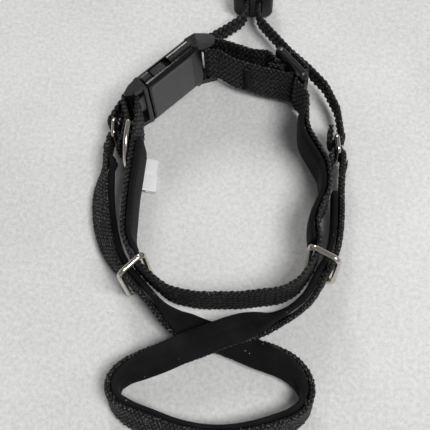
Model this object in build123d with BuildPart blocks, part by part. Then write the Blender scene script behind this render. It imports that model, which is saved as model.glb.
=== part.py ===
"""A figure-eight head halter for a dog, laid out on a table.

A 20 mm collar strap with a side-release buckle and a tri-glide adjuster, a narrower padded nose strap that
crosses under the chin, two thin control straps behind, and the metal and plastic fittings that join them.
Millimetres, +Z up, +X to the halter's right as laid out, +Y from the nose loop to the lead ring.
Every strap stands on its edge except where the nose strap lies over at the crossing.
"""
from build123d import *
from math import cos, radians, sin
import os

os.makedirs("parts", exist_ok=True)

# ---------------------------------------------------------------- driving dimensions
GAP = 0.3            # clearance between two surfaces that lie side by side
FIT = 0.2            # clearance of a strap round the bar that it is folded over
STRAP_W = 20.0       # collar webbing
STRAP_T = 1.7
PAD_T = 2.0          # soft lining behind the collar webbing
PAD_W = 18.0
NOSE_W = 10.0        # nose webbing and its lining
NOSE_T = 2.3
NOSE_PAD_T = 2.2
NOSE_GAP = 0.55      # the nose strap's two layers twist, so they stand a little further apart
CTRL_W = 8.0         # control straps
CTRL_T = 2.0
STRAP_Z = 3.0        # lower edge of the collar strap, held up by the fittings
HARD_H = STRAP_W + 2 * STRAP_Z          # height of the fittings that the collar strap runs through

BUCKLE_T = 6.8       # thickness of the side-release buckle
BUCKLE_WALL = 1.5
SOCKET_BACK = 14.6   # from the buckle's middle to where its strap frame starts
SOCKET_MOUTH = 11.5  # from the buckle's middle to the mouth
BAR_D = 2.8          # bars that the collar strap is folded round
GLIDE_T = 2.8
GLIDE_RAIL = 2.8
GLIDE_SLOT = 4.4
LOOP_W = 12.4        # rectangular wire loops, outside
WIRE = 1.9
RING_WIRE = 1.6      # small end rings
RING_W = 8.5
RING_H = 15.0
DEE_WIRE = 1.6
LEAD_D = 18.0        # lead ring, outside
LEAD_WIRE = 2.4

# the plan is drawn from a point near the left of the buckle; this brings the footprint's middle to the origin
SHIFT = (22.58, -124.17, 0.0)


def put(part, name):
    """Bring a finished part to the origin that all share, and write it."""
    solid = Pos(*SHIFT) * part
    solid.label = name
    export_step(solid, f"parts/{name}.step")


def local(origin, angle):
    """A function from a fitting's own (along, across) to the plan."""
    c, s = cos(radians(angle)), sin(radians(angle))
    return lambda u, v: (origin[0] + c * u - s * v, origin[1] + s * u + c * v)


def strap_path(points, radii):
    """Straight runs joined by tangent arcs, one radius for each inner point."""
    return FilletPolyline(*points, radius=radii)


def wire_frame(wide, high, wire, corner):
    """A closed rectangular loop of round wire, drawn on the sketch plane that is in use."""
    RectangleRounded(wide, high, corner)
    RectangleRounded(wide - 2 * wire, high - 2 * wire, corner - wire + 0.4, mode=Mode.SUBTRACT)


def band(path, off, thick, z0, width):
    """Sweep an upright band along a plan path. off is how far its middle lies to the right of the path."""
    with BuildSketch(Plane(path @ 0, x_dir=(0, 0, 1), z_dir=path % 0)) as section:
        with Locations((z0 + width / 2, off)):
            Rectangle(width, thick)
    sweep(sections=section.sketch, path=path)


# ---------------------------------------------------------------- where the fittings stand in the plan
buckle = local((-45.0, 152.2), 48.6)     # along runs from the plug to the socket, across points outwards
glide = local((1.0, 156.0), -47.0)       # along runs from the back strap to the right cheek
plug_bar = buckle(-18.6, -0.3)
socket_bar = buckle(18.4, -4.0)
fold_r = BAR_D / 2 + FIT + STRAP_T / 2   # middle of the webbing where it is folded round a bar

LEFT_LOOP, LEFT_LOOP_TURN = (-46.5, 73.5), 49.5      # the loops' own plane lies along this angle
RIGHT_LOOP, RIGHT_LOOP_TURN = (16.8, 83.0), -25.0

# ---------------------------------------------------------------- collar webbing: the adjustable back
# a fold round the tri-glide's middle bar, the inner layer, round the socket's bar, the outer layer,
# then up, over and down through the tri-glide
bar_g = GLIDE_RAIL / 2 + FIT + STRAP_T / 2
slot_mid = GLIDE_RAIL / 2 + GLIDE_SLOT - FIT - STRAP_T / 2
under = -(GLIDE_T / 2 + FIT + STRAP_T / 2)
over = bar_g + STRAP_T + FIT
sx, sy = socket_bar
back_points = [
    glide(-6.2, -5.9), glide(-bar_g, -3.3), glide(-bar_g, bar_g), glide(bar_g, bar_g),
    glide(bar_g, -2.5), (-10.0, 154.4), (-21.0, 157.4), (sx + 3, sy - fold_r), (sx - fold_r, sy - fold_r),
    (sx - fold_r, sy + fold_r), (sx + 3, sy + fold_r), (-14.0, 162.0), glide(-10.4, under),
    glide(-slot_mid, under), glide(-slot_mid, over), glide(slot_mid, over), glide(slot_mid, under),
    glide(10.0, under),
]
with BuildPart() as back_webbing:
    with BuildLine() as line:
        path = strap_path(back_points, [1.0, 1.2, 1.2, 1.0, 8, 12, 4, 2.4, 2.4, 4, 10, 3, 1.3, 1.3, 1.3, 1.3])
    band(path, 0, STRAP_T, STRAP_Z, STRAP_W)
put(back_webbing.part, "back_webbing")

# ---------------------------------------------------------------- collar webbing: right cheek, front, left cheek
collar_points = [
    glide(10.4, under), (7.6, 144.8), (8.2, 132.0), (16.6, 118.5), (17.9, 109.0), (13.6, 97.0), (15.6, 87.6),
    (12.5, 80.0), (9.2, 74.6), (4.0, 70.8), (-10.0, 67.8), (-24.0, 66.4), (-34.0, 67.6), (-41.3, 72.6),
    (-48.2, 78.4), (-52.4, 86.0), (-53.6, 104.0), (-53.6, 123.5),
]
collar_radii = [3, 14, 12, 18, 14, 10, 10, 10, 14, 30, 30, 14, 10, 10, 20, 60]
with BuildPart() as collar_webbing:
    with BuildLine() as line:
        collar_path = strap_path(collar_points, collar_radii)
    band(collar_path, 0, STRAP_T, STRAP_Z, STRAP_W)
put(collar_webbing.part, "collar_webbing")

# the end that is folded round the plug's bar and sewn back on itself, with the D-ring caught in it
px, py = plug_bar
tail_x = -53.6 - STRAP_T - DEE_WIRE - 2 * FIT
plug_end = [(-53.6, 123.7), (-53.6, 131.0), (px + fold_r, py - 2), (px + fold_r, py + fold_r),
            (px - fold_r, py + fold_r), (px - fold_r, py - 2), (tail_x, 132.0), (tail_x, 122.0)]
with BuildPart() as left_webbing:
    with BuildLine() as line:
        path = strap_path(plug_end, [6, 3, 2.4, 2.4, 3, 6])
    band(path, 0, STRAP_T, STRAP_Z, STRAP_W)
put(left_webbing.part, "left_webbing")

# ---------------------------------------------------------------- soft linings behind the cheeks
off = STRAP_T / 2 + GAP + PAD_T / 2
right_pad = [(8.0, 138.0), (8.2, 132.0), (16.6, 118.5), (17.9, 109.0), (13.6, 97.0), (15.12, 90.0)]
left_pad = [(-50.4, 82.1), (-52.4, 86.0), (-53.6, 104.0), (-53.6, 122.6)]
for name, points, radii in (("right_lining", right_pad, [14, 12, 18, 14]), ("left_lining", left_pad, [20, 60])):
    with BuildPart() as pad:
        with BuildLine() as line:
            path = strap_path(points, radii)
        band(path, off, PAD_T, STRAP_Z + (STRAP_W - PAD_W) / 2, PAD_W)
    put(pad.part, name)

# ---------------------------------------------------------------- nose strap
# x, y, height of the middle, lean in degrees. The lean is 0 where the strap stands with its lining to the
# left of the way it runs, and -90 where it lies flat with the lining uppermost.
END_Z = RING_H / 2
nose_line = [
    (-63.6, 121.0, END_Z, 0), (-63.8, 119.0, 7.4, 0), (-64.4, 113.0, 6.8, 24), (-64.3, 105.0, 6.5, 42),
    (-62.6, 96.0, 6.5, 46),
    (-59.5, 87.5, 6.6, 38), (-55.6, 80.8, 7.1, 22), (-50.9, 75.7, 7.4, 6), (-47.2, 72.65, 7.4, 0),
    (-43.7, 69.4, 7.2, -3), (-38.6, 65.0, 6.6, -12), (-32.4, 60.8, 5.6, -42), (-26.5, 58.6, 4.0, -78),
    (-21.0, 57.2, 3.2, -88), (-15.5, 56.0, 3.0, -90), (-10.0, 54.4, 3.1, -92), (-4.5, 52.6, 3.9, -103),
    (1.5, 50.8, 5.5, -124), (7.5, 48.6, 5.9, -138), (12.2, 45.0, 5.9, -156), (14.6, 40.2, 5.8, -174),
    (13.8, 35.4, 5.8, -188), (10.4, 31.6, 5.8, -198), (5.0, 28.6, 5.8, -206), (-2.0, 25.6, 5.8, -212),
    (-10.0, 23.4, 5.8, -218), (-19.0, 22.6, 5.8, -222), (-28.0, 23.6, 5.8, -222), (-36.0, 25.8, 5.8, -218),
    (-43.2, 28.2, 5.8, -208), (-48.4, 31.8, 5.8, -190), (-49.6, 36.8, 5.8, -172), (-46.4, 41.2, 5.9, -152),
    (-41.0, 44.2, 6.6, -134), (-34.6, 47.0, 8.4, -113), (-28.0, 50.0, 10.15, -96), (-21.6, 53.2, 9.8, -92),
    (-15.5, 56.3, 9.9, -90), (-9.8, 58.8, 9.7, -87), (-4.2, 60.9, 8.8, -62), (1.8, 63.4, 7.2, -28),
    (8.0, 67.2, 6.9, -12), (13.0, 72.4, 7.2, -4), (16.2, 78.6, 7.4, 0), (17.8, 82.5, 7.4, 0),
    (19.7, 86.4, 7.3, 0), (21.4, 94.0, 6.4, 0), (21.8, 103.0, 6.1, 0), (21.4, 112.0, 6.6, 0),
    (21.2, 121.0, END_Z, 0),
]


def nose_frame(i, off):
    """The plane square to the nose strap at one station, moved across the strap towards its lining."""
    x, y, z, lean = nose_line[i]
    a, b = nose_line[max(i - 1, 0)], nose_line[min(i + 1, len(nose_line) - 1)]
    run = Vector(b[0] - a[0], b[1] - a[1], 0).normalized()
    left = Vector(-run.Y, run.X, 0)
    wide = Vector(0, 0, cos(radians(lean))) + left * sin(radians(lean))
    face = left * cos(radians(lean)) - Vector(0, 0, sin(radians(lean)))
    return Plane(origin=Vector(x, y, z) + face * off, x_dir=wide, z_dir=run)


def nose_band(first, last, off, thick, width):
    """A band lofted through the stations from first to last."""
    sections = []
    for i in range(first, last + 1):
        with BuildSketch(nose_frame(i, off)) as section:
            Rectangle(width, thick)
        sections.append(section.sketch)
    loft(sections=sections, ruled=True)


# each end is folded round its ring, with the fold's tail on the lining's side
nose_off = (NOSE_T + NOSE_GAP) / 2
nose_r = RING_WIRE / 2 + FIT + NOSE_T / 2
TAIL = 6.0
last = len(nose_line) - 1
fold_y = 126.6
ends = {}
for side, i, way in (("left", 0, 1), ("right", last, -1)):
    x0, y0 = nose_line[i][0] - way * nose_off, nose_line[i][1]
    ends[side] = (x0 + way * nose_r, fold_y)
with BuildPart() as nose_webbing:
    nose_band(0, last, -nose_off, NOSE_T, NOSE_W)
    for side, i, way in (("left", 0, 1), ("right", last, -1)):
        bx, by = ends[side]
        x0 = bx - way * nose_r
        with BuildLine() as line:
            path = strap_path([(x0, nose_line[i][1]), (x0, by + nose_r), (bx + way * nose_r, by + nose_r),
                               (bx + way * nose_r, by - TAIL + 2)], [nose_r - 0.05, nose_r - 0.05])
        band(path, 0, NOSE_T, END_Z - NOSE_W / 2, NOSE_W)
put(nose_webbing.part, "nose_webbing")
with BuildPart() as nose_lining:
    nose_band(1, last - 1, (NOSE_PAD_T + NOSE_GAP) / 2, NOSE_PAD_T, NOSE_W)
put(nose_lining.part, "nose_lining")

# ---------------------------------------------------------------- small end rings and control straps
ring_reach = RING_W - RING_WIRE
ring_turn = {"left": 96.0, "right": 98.0}
far = {}
for side in ("left", "right"):
    bx, by = ends[side]
    go = local((bx, by), ring_turn[side])
    far[side] = go(ring_reach, 0)
    mid = go(ring_reach / 2, 0)
    along = Vector(far[side][0] - bx, far[side][1] - by, 0).normalized()
    with BuildPart() as ring:
        with BuildSketch(Plane(origin=(mid[0], mid[1], RING_H / 2), x_dir=along,
                               z_dir=Vector(along.Y, -along.X, 0))):
            wire_frame(RING_W, RING_H, RING_WIRE, 2.6)
        extrude(amount=RING_WIRE / 2, both=True)
        fillet(ring.edges(), RING_WIRE / 2 - 0.05)
    put(ring.part, f"{side}_end_ring")

ctrl_r = RING_WIRE / 2 + FIT + CTRL_T / 2
ctrl_z = RING_H / 2 - CTRL_W / 2
lead = (-16.6, 222.0)                       # middle of the lead ring, which stands on its edge
lead_off = LEAD_WIRE / 2 + FIT + CTRL_T / 2  # from the ring's plane to the middle of a control strap
lx, ly = lead
fold_end = ly - 3.0 + CTRL_T / 2            # the strap's fold inside the ring
join_y = ly - 14.0
fx, fy = far["left"]
left_ctrl = [(fx + ctrl_r, fy + 5.5), (fx + ctrl_r, fy - ctrl_r), (fx - ctrl_r, fy - ctrl_r),
             (fx - ctrl_r, fy + 3), (-62.6, 143.6), (-50.8, 157.6), (-41.8, 167.4), (-34.0, 174.2),
             (-26.0, 180.6), (lx - lead_off, 187.0), (lx - lead_off, join_y)]
fx, fy = far["right"]
right_ctrl = [(fx - ctrl_r, fy + 5.5), (fx - ctrl_r, fy - ctrl_r), (fx + ctrl_r, fy - ctrl_r),
              (fx + ctrl_r, fy + 3), (19.6, 147.0), (14.6, 157.0), (7.4, 164.6), (-0.4, 171.6), (-7.6, 179.6),
              (lx + lead_off, 187.0), (lx + lead_off, join_y)]
turn = ctrl_r - 0.05
for name, points, radii in (("left_control_webbing", left_ctrl, [turn, turn, 5, 12, 30, 30, 30, 20, 9]),
                            ("right_control_webbing", right_ctrl, [turn, turn, 5, 12, 10, 20, 20, 20, 9])):
    with BuildPart() as control:
        with BuildLine() as line:
            path = strap_path(points, radii)
        band(path, 0, CTRL_T, ctrl_z, CTRL_W)
    put(control.part, name)

with BuildPart() as lead_fold:
    with BuildLine() as line:
        path = strap_path([(lx - lead_off, join_y), (lx - lead_off, fold_end), (lx + lead_off, fold_end),
                           (lx + lead_off, join_y)], [lead_off - 0.1, lead_off - 0.1])
    band(path, 0, CTRL_T, ctrl_z, CTRL_W)
put(lead_fold.part, "lead_fold_webbing")

# the lead ring, and the plastic keeper that slides on both control straps
with BuildPart() as lead_ring:
    with BuildSketch(Plane(origin=(lx, ly - (LEAD_D - LEAD_WIRE) / 2, LEAD_D / 2), x_dir=(1, 0, 0),
                           z_dir=(0, 0, 1))) as section:
        Circle(LEAD_WIRE / 2)
    revolve(profiles=section.sketch, axis=Axis((lx, ly, LEAD_D / 2), (1, 0, 0)))
put(lead_ring.part, "lead_ring")

KEEPER = (16.0, 11.0, 13.6)
keeper_y = 192.8
with BuildPart() as keeper:
    with BuildSketch(Plane(origin=(lx, keeper_y, RING_H / 2), x_dir=(1, 0, 0), z_dir=(0, -1, 0))) as section:
        RectangleRounded(KEEPER[0], KEEPER[2], 4.0)
    extrude(to_extrude=section.sketch, amount=-KEEPER[1])
    fillet(keeper.edges().filter_by(Plane.XZ), 1.2)
    with BuildSketch(Plane(origin=(lx, keeper_y, RING_H / 2), x_dir=(1, 0, 0), z_dir=(0, -1, 0))) as section:
        for way in (-1, 1):
            with Locations((way * lead_off, 0)):
                Rectangle(CTRL_T + 2 * GAP, CTRL_W + 2 * GAP)
    extrude(to_extrude=section.sketch, amount=-KEEPER[1], mode=Mode.SUBTRACT)
put(keeper.part, "lead_keeper")

# ---------------------------------------------------------------- wire loops and the D-ring
for name, at, turned in (("left_loop", LEFT_LOOP, LEFT_LOOP_TURN), ("right_loop", RIGHT_LOOP, RIGHT_LOOP_TURN)):
    c, s = cos(radians(turned)), sin(radians(turned))
    with BuildPart() as loop:
        with BuildSketch(Plane(origin=(at[0], at[1], HARD_H / 2), x_dir=(c, s, 0), z_dir=(s, -c, 0))):
            wire_frame(LOOP_W, HARD_H, WIRE, 3.2)
        extrude(amount=WIRE / 2, both=True)
        fillet(loop.edges(), WIRE / 2 - 0.05)
    put(loop.part, name)

dee_x = -53.6 - STRAP_T / 2 - FIT - DEE_WIRE / 2
DEE_Y = 126.5
DEE_BOW = 3.4          # how far the D's bow stands out past a half circle on its straight bar
DEE_DEEP = HARD_H / 2 - 0.4 + DEE_BOW
with BuildPart() as d_ring:
    with BuildSketch(Plane(origin=(dee_x, DEE_Y, HARD_H / 2), x_dir=(0, -1, 0), z_dir=(-1, 0, 0))):
        half = HARD_H / 2 - 0.4
        for grow, mode in ((0.0, Mode.ADD), (-DEE_WIRE, Mode.SUBTRACT)):
            with BuildLine():
                a, b = -DEE_WIRE / 2 - grow, DEE_DEEP - DEE_WIRE / 2 + grow
                h = half + grow
                top = Line((a, h), (a + 3.0, h))
                bow = ThreePointArc((a + 3.0, h), (b, 0), (a + 3.0, -h))
                foot = Line((a + 3.0, -h), (a, -h))
                Line((a, -h), (a, h))
            make_face(mode=mode)
    extrude(amount=DEE_WIRE / 2, both=True)
    fillet(d_ring.edges(), DEE_WIRE / 2 - 0.1)
put(d_ring.part, "d_ring")

# ---------------------------------------------------------------- tri-glide adjuster
GLIDE_L = 3 * GLIDE_RAIL + 2 * GLIDE_SLOT
gx, gy = glide(0, 0)
c, s = cos(radians(-47.0)), sin(radians(-47.0))
with BuildPart() as tri_glide:
    with BuildSketch(Plane(origin=(gx, gy, HARD_H / 2), x_dir=(c, s, 0), z_dir=(s, -c, 0))) as section:
        RectangleRounded(GLIDE_L, HARD_H, 3.0)
    extrude(to_extrude=section.sketch, amount=GLIDE_T / 2, both=True)
    fillet(tri_glide.edges(), 1.0)
    with BuildSketch(Plane(origin=(gx, gy, HARD_H / 2), x_dir=(c, s, 0), z_dir=(s, -c, 0))) as section:
        for way in (-1, 1):
            with Locations((way * (GLIDE_RAIL + GLIDE_SLOT) / 2, 0)):
                Rectangle(GLIDE_SLOT, STRAP_W + 2 * FIT)
    extrude(to_extrude=section.sketch, amount=GLIDE_T, both=True, mode=Mode.SUBTRACT)
put(tri_glide.part, "tri_glide")

# ---------------------------------------------------------------- side-release buckle
bx, by = buckle(0, 0)
c, s = cos(radians(48.6)), sin(radians(48.6))
plan = Plane(origin=(bx, by, 0), x_dir=(c, s, 0), z_dir=(0, 0, 1))


def across(along):
    """The plane square to the buckle's length, x across its thickness and y up."""
    x, y = buckle(along, 0)
    return Plane(origin=(x, y, HARD_H / 2), x_dir=(-s, c, 0), z_dir=(c, s, 0))


cavity_t = BUCKLE_T - 2 * BUCKLE_WALL
cavity_h = STRAP_W
window = (-8.0, 1.0)
rail = STRAP_Z - FIT
with BuildPart() as socket:
    with BuildSketch(across(-SOCKET_MOUTH)) as section:
        RectangleRounded(BUCKLE_T, HARD_H, 2.6)
    extrude(to_extrude=section.sketch, amount=SOCKET_MOUTH + SOCKET_BACK)
    fillet(socket.edges().group_by(Axis((bx, by, 0), (c, s, 0)))[-1], 1.0)
    with BuildSketch(across(-SOCKET_MOUTH)) as section:
        Rectangle(cavity_t, cavity_h)
    extrude(to_extrude=section.sketch, amount=SOCKET_MOUTH + 9.5, mode=Mode.SUBTRACT)
    with BuildSketch(across(window[0])) as section:
        Rectangle(cavity_t, 2 * HARD_H)
    extrude(to_extrude=section.sketch, amount=window[1] - window[0], mode=Mode.SUBTRACT)
    for z0, high in ((0, rail), (HARD_H - rail, rail)):
        with BuildSketch(plan.offset(z0)) as section:
            with BuildLine():
                Polyline((11.0, 2.6), (15.6, 2.0), (19.0, -1.4), (20.2, -4.4), (18.4, -6.2), (12.6, -3.2),
                         (11.0, -3.2), close=True)
            make_face()
            fillet(section.vertices().sort_by(Axis((bx, by, 0), (c, s, 0)))[-3:], 0.8)
        extrude(to_extrude=section.sketch, amount=high)
    with BuildSketch(plan) as section:
        with Locations((18.4, -4.0)):
            Circle(BAR_D / 2)
    extrude(to_extrude=section.sketch, amount=HARD_H)
put(socket.part, "buckle_socket")

with BuildPart() as plug:
    with BuildSketch(plan.offset(1.2)) as section:
        with Locations((-12.8, 0)):
            RectangleRounded(2.2, BUCKLE_T - 0.4, 0.8)
    extrude(to_extrude=section.sketch, amount=HARD_H - 2.4)
    for z0 in (0.4, HARD_H - rail):
        with BuildSketch(plan.offset(z0)) as section:
            with BuildLine():
                Polyline((-12.4, 2.6), (-12.4, -2.6), (-17.0, -2.0), (-20.1, -1.0), (-20.1, 0.6), (-17.0, 2.0),
                         close=True)
            make_face()
        extrude(to_extrude=section.sketch, amount=rail - 0.4)
    with BuildSketch(plan.offset(0.4)) as section:
        with Locations((-18.6, -0.3)):
            Circle(BAR_D / 2)
    extrude(to_extrude=section.sketch, amount=HARD_H - 0.8)
    with BuildSketch(plan.offset(HARD_H / 2 - 1.7)) as section:
        with BuildLine():
            Polyline((-12.2, 1.5), (5.5, 1.5), (8.4, 0.7), (8.4, -0.7), (5.5, -1.5), (-12.2, -1.5), close=True)
        make_face()
    extrude(to_extrude=section.sketch, amount=3.4)
put(plug.part, "buckle_plug")

arm = [(-11.5, 5.6), (-11.5, 8.2), (-7.8, 8.8), (-7.3, 12.3), (-1.6, 12.3), (0.5, 11.2), (0.6, 9.7), (3.6, 9.6),
       (6.6, 7.7), (6.6, 6.3), (2.0, 6.5), (-5.0, 5.9)]
for name, way in (("latch_arm_upper", 1), ("latch_arm_lower", -1)):
    with BuildPart() as latch:
        with BuildSketch(Plane(origin=(bx, by, HARD_H / 2), x_dir=(c, s, 0), z_dir=(s, -c, 0))) as section:
            with BuildLine():
                Polyline(*[(u, way * h) for u, h in arm], close=True)
            make_face()
            fillet(section.vertices(), 0.25)
        extrude(to_extrude=section.sketch, amount=cavity_t / 2 - 0.25, both=True)
    put(latch.part, name)

# ---------------------------------------------------------------- care label and sewn bar tacks
with BuildPart() as care_label:
    with BuildSketch(Plane(origin=(0, 123.4, 0), x_dir=(1, 0, 0), z_dir=(0, -1, 0))) as section:
        with BuildLine():
            Polyline((-52.5, 3.5), (-50.0, 3.1), (-46.3, 1.9), (-46.0, 1.4), (-46.5, 0.9), (-50.5, 1.5),
                     (-50.5, 1.9), (-47.0, 1.35), (-50.2, 2.6), (-52.5, 3.0), close=True)
        make_face()
    extrude(to_extrude=section.sketch, amount=13.5)
put(care_label.part, "care_label")

TACK = (0.5, 2.6)
tail_face = tail_x - STRAP_T / 2
fx, fy = far["left"]
rx, ry = far["right"]
x_left = nose_line[0][0] - NOSE_T - NOSE_GAP / 2
x_right = nose_line[last][0] + NOSE_T + NOSE_GAP / 2
tacks = {
    "plug_bar_tack": ((tail_face - 0.25, 124.2), 0, STRAP_W - 6),
    "glide_bar_tack": ((-15.72, 154.78), 74.7, STRAP_W - 6),
    "left_nose_tack": ((x_left - 0.25, 123.6), 0, NOSE_W - 3),
    "right_nose_tack": ((x_right + 0.25, 123.6), 0, NOSE_W - 3),
    "left_control_tack": ((fx - ctrl_r - CTRL_T / 2 - 0.25, fy + 1.6), 0, CTRL_W - 2),
    "right_control_tack": ((rx + ctrl_r + CTRL_T / 2 + 0.25, ry + 1.6), 0, CTRL_W - 2),
    "lead_tack": ((lx + lead_off + CTRL_T / 2 + 0.25, ly - 11.6), 0, CTRL_W - 2),
}
for name, (at, turned, high) in tacks.items():
    mid_z = STRAP_Z + STRAP_W / 2 if high > CTRL_W else RING_H / 2
    with BuildPart() as tack:
        with BuildSketch(Plane(origin=(at[0], at[1], mid_z - high / 2), z_dir=(0, 0, 1))) as section:
            with Locations(Location((0, 0), turned)):
                RectangleRounded(TACK[0], TACK[1], 0.2)
        extrude(to_extrude=section.sketch, amount=high)
    put(tack.part, name)
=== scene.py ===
"""A figure-eight head halter for a dog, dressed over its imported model.

The halter lies on a pale table, its collar strap and cheeks standing on edge, the nose strap crossed in
front and the two thin control straps running back to the lead ring. Plan sizes are in millimetres from
the plan's own zero near the buckle; the meshes are in metres in the model's frame.
"""
import math

import bpy
import numpy as np
from mathutils import Matrix, Vector


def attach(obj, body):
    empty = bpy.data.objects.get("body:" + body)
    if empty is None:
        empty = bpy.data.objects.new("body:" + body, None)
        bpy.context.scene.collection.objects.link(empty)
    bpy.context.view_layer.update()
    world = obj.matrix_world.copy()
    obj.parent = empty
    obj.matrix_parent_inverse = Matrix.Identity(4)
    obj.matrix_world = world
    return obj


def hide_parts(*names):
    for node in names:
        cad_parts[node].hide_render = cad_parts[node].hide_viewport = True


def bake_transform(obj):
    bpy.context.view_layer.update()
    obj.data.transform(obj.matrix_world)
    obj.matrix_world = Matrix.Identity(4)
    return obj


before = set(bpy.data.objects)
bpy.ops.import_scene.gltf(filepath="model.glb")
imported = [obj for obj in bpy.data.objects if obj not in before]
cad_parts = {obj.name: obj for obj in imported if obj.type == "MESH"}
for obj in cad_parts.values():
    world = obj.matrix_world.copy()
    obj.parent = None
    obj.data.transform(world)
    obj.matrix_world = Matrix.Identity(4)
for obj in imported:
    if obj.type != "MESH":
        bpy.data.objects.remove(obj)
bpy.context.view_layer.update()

# ---------------------------------------------------------------- table, light and view
# A plain pale table with a faint mottle, lit by a wide soft lamp overhead at the front right and a smaller
# one behind, in a room that is pale and warm near the horizon and darker overhead.
MM = 0.001
scene = bpy.context.scene
scene.view_settings.view_transform = "Standard"


def place(tree, kind, sockets=None, **settings):
    """Put a shader node in a tree; a socket's value may be another node's output."""
    made = tree.nodes.new("ShaderNode" + kind)
    for key, value in settings.items():
        setattr(made, key, value)
    for key, value in (sockets or {}).items():
        if isinstance(value, bpy.types.NodeSocket):
            tree.links.new(value, made.inputs[key])
        else:
            made.inputs[key].default_value = value
    return made


def reckon(tree, how, *values):
    """One step of arithmetic in a shader, giving its result's socket."""
    return place(tree, "Math", dict(enumerate(values)), operation=how).outputs[0]


def shades(tree, mask, dark, light, low=0.0, high=1.0):
    """A colour between two as a mask goes from low to high."""
    ramp = place(tree, "ValToRGB", {"Fac": mask})
    ends = ramp.color_ramp.elements
    ends[0].position, ends[1].position = low, high
    ends[0].color, ends[1].color = (*dark, 1), (*light, 1)
    return ramp.outputs["Color"]


def finish_named(name):
    """A new material with its shader tree, its Principled shader and the object's own coordinates."""
    made = bpy.data.materials.new(name)
    made.use_nodes = True
    tree = made.node_tree
    shader = tree.nodes["Principled BSDF"]
    spot = place(tree, "TexCoord").outputs["Object"]
    return made, tree, shader, spot


table_finish, tree, shader, spot = finish_named("pale_table")
mottle = place(tree, "TexNoise", {"Vector": spot, "Scale": 620.0, "Detail": 4.0, "Roughness": 0.75})
cloud = place(tree, "TexNoise", {"Vector": spot, "Scale": 18.0, "Detail": 3.0})
both = reckon(tree, "ADD", reckon(tree, "MULTIPLY", mottle.outputs["Fac"], 0.7),
              reckon(tree, "MULTIPLY", cloud.outputs["Fac"], 0.3))
tree.links.new(shades(tree, both, (0.56, 0.56, 0.55), (0.74, 0.74, 0.73), 0.36, 0.62),
               shader.inputs["Base Color"])
shader.inputs["Roughness"].default_value = 0.75
grain = place(tree, "Bump", {"Height": mottle.outputs["Fac"], "Strength": 0.5, "Distance": 0.0006})
tree.links.new(grain.outputs["Normal"], shader.inputs["Normal"])

TABLE_HALF = 1.6
sheet = bpy.data.meshes.new("table_top")
sheet.from_pydata([(-TABLE_HALF, -TABLE_HALF, 0), (TABLE_HALF, -TABLE_HALF, 0), (TABLE_HALF, TABLE_HALF, 0),
                   (-TABLE_HALF, TABLE_HALF, 0)], [], [(0, 1, 2, 3)])
table = bpy.data.objects.new("table_top", sheet)
table.location.z = -0.0001
table.data.materials.append(table_finish)
scene.collection.objects.link(table)

world = bpy.data.worlds.new("pale_room")
world.use_nodes = True
scene.world = world
tree = world.node_tree
way = place(tree, "SeparateXYZ", {0: place(tree, "TexCoord").outputs["Generated"]}).outputs["Z"]
sky = shades(tree, way, (0.82, 0.80, 0.77), (0.42, 0.43, 0.45), 0.05, 0.8)
back = tree.nodes["Background"]
tree.links.new(sky, back.inputs["Color"])
back.inputs["Strength"].default_value = 0.4


def soft_lamp(name, at, aim, size, power, colour=(1, 1, 1)):
    """A square soft lamp that faces a point on the table."""
    lamp = bpy.data.lights.new(name, "AREA")
    lamp.size, lamp.energy, lamp.color = size, power, colour
    holder = bpy.data.objects.new(name, lamp)
    holder.location = at
    holder.rotation_euler = (Vector(aim) - Vector(at)).to_track_quat("-Z", "Y").to_euler()
    scene.collection.objects.link(holder)


soft_lamp("overhead_lamp", (0.45, -0.30, 1.0), (0.0, 0.0, 0.0), 0.42, 10.0)
soft_lamp("window_lamp", (-0.25, 0.85, 0.7), (0.0, 0.0, 0.01), 0.3, 4.4, (1.0, 0.98, 0.95))

CAMERA_FOOT = (0.02258, -0.12417, 0.255)
VIEW_RIGHT = (0.99327, 0.10626, -0.04618)
VIEW_UP = (-0.08085, 0.92118, 0.38066)
VIEW_BACK = (0.08299, -0.37436, 0.92356)
lens = bpy.data.cameras.new("view")
lens.lens, lens.sensor_width = 61.95, 36.0
lens.clip_start = 0.01
viewer = bpy.data.objects.new("view", lens)
viewer.matrix_world = (Matrix.Translation(CAMERA_FOOT)
                       @ Matrix((VIEW_RIGHT, VIEW_UP, VIEW_BACK)).transposed().to_4x4())
scene.collection.objects.link(viewer)
scene.camera = viewer

# ---------------------------------------------------------------- collar webbing: front and cheeks
# One 20 mm band of black nylon webbing stands on edge from the tri-glide round the front to the buckle's
# plug. It is woven with ribs across it and a knotted selvedge along both edges.
PLAN_ZERO = np.array((22.58, -124.17, 0.0))
STRAP_W, STRAP_T, STRAP_Z = 20.0, 1.7, 3.0
GAP = 0.3
COLLAR_RIB, COLLAR_YARN = 1.8, 1.55


def beside(origin, angle):
    """A fitting's own (along, across) as a place in the plan."""
    c, s = math.cos(math.radians(angle)), math.sin(math.radians(angle))
    return lambda u, v: (origin[0] + c * u - s * v, origin[1] + s * u + c * v)


def bent_run(corners, radii, pace=0.45):
    """Evenly spaced points along straight runs that are joined by arcs, one radius for each inner corner."""
    places = [Vector(c) for c in corners]
    line = [places[0]]
    for i, radius in enumerate(radii, 1):
        here = places[i]
        before, after = (places[i - 1] - here).normalized(), (places[i + 1] - here).normalized()
        half = before.angle(after) / 2
        if half > math.pi / 2 - 1e-3:
            continue
        centre = here + (before + after).normalized() * radius / math.sin(half)
        first = here + before * radius / math.tan(half) - centre
        last = here + after * radius / math.tan(half) - centre
        start = math.atan2(first.y, first.x)
        swing = (math.atan2(last.y, last.x) - start + math.pi) % (2 * math.pi) - math.pi
        steps = max(3, math.ceil(abs(swing) * radius / 0.2))
        line += [centre + radius * Vector((math.cos(start + swing * k / steps),
                                          math.sin(start + swing * k / steps)))
                 for k in range(steps + 1)]
    line.append(places[-1])
    line = np.array([tuple(p) for p in line])
    return evenly(line, pace)


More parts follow.
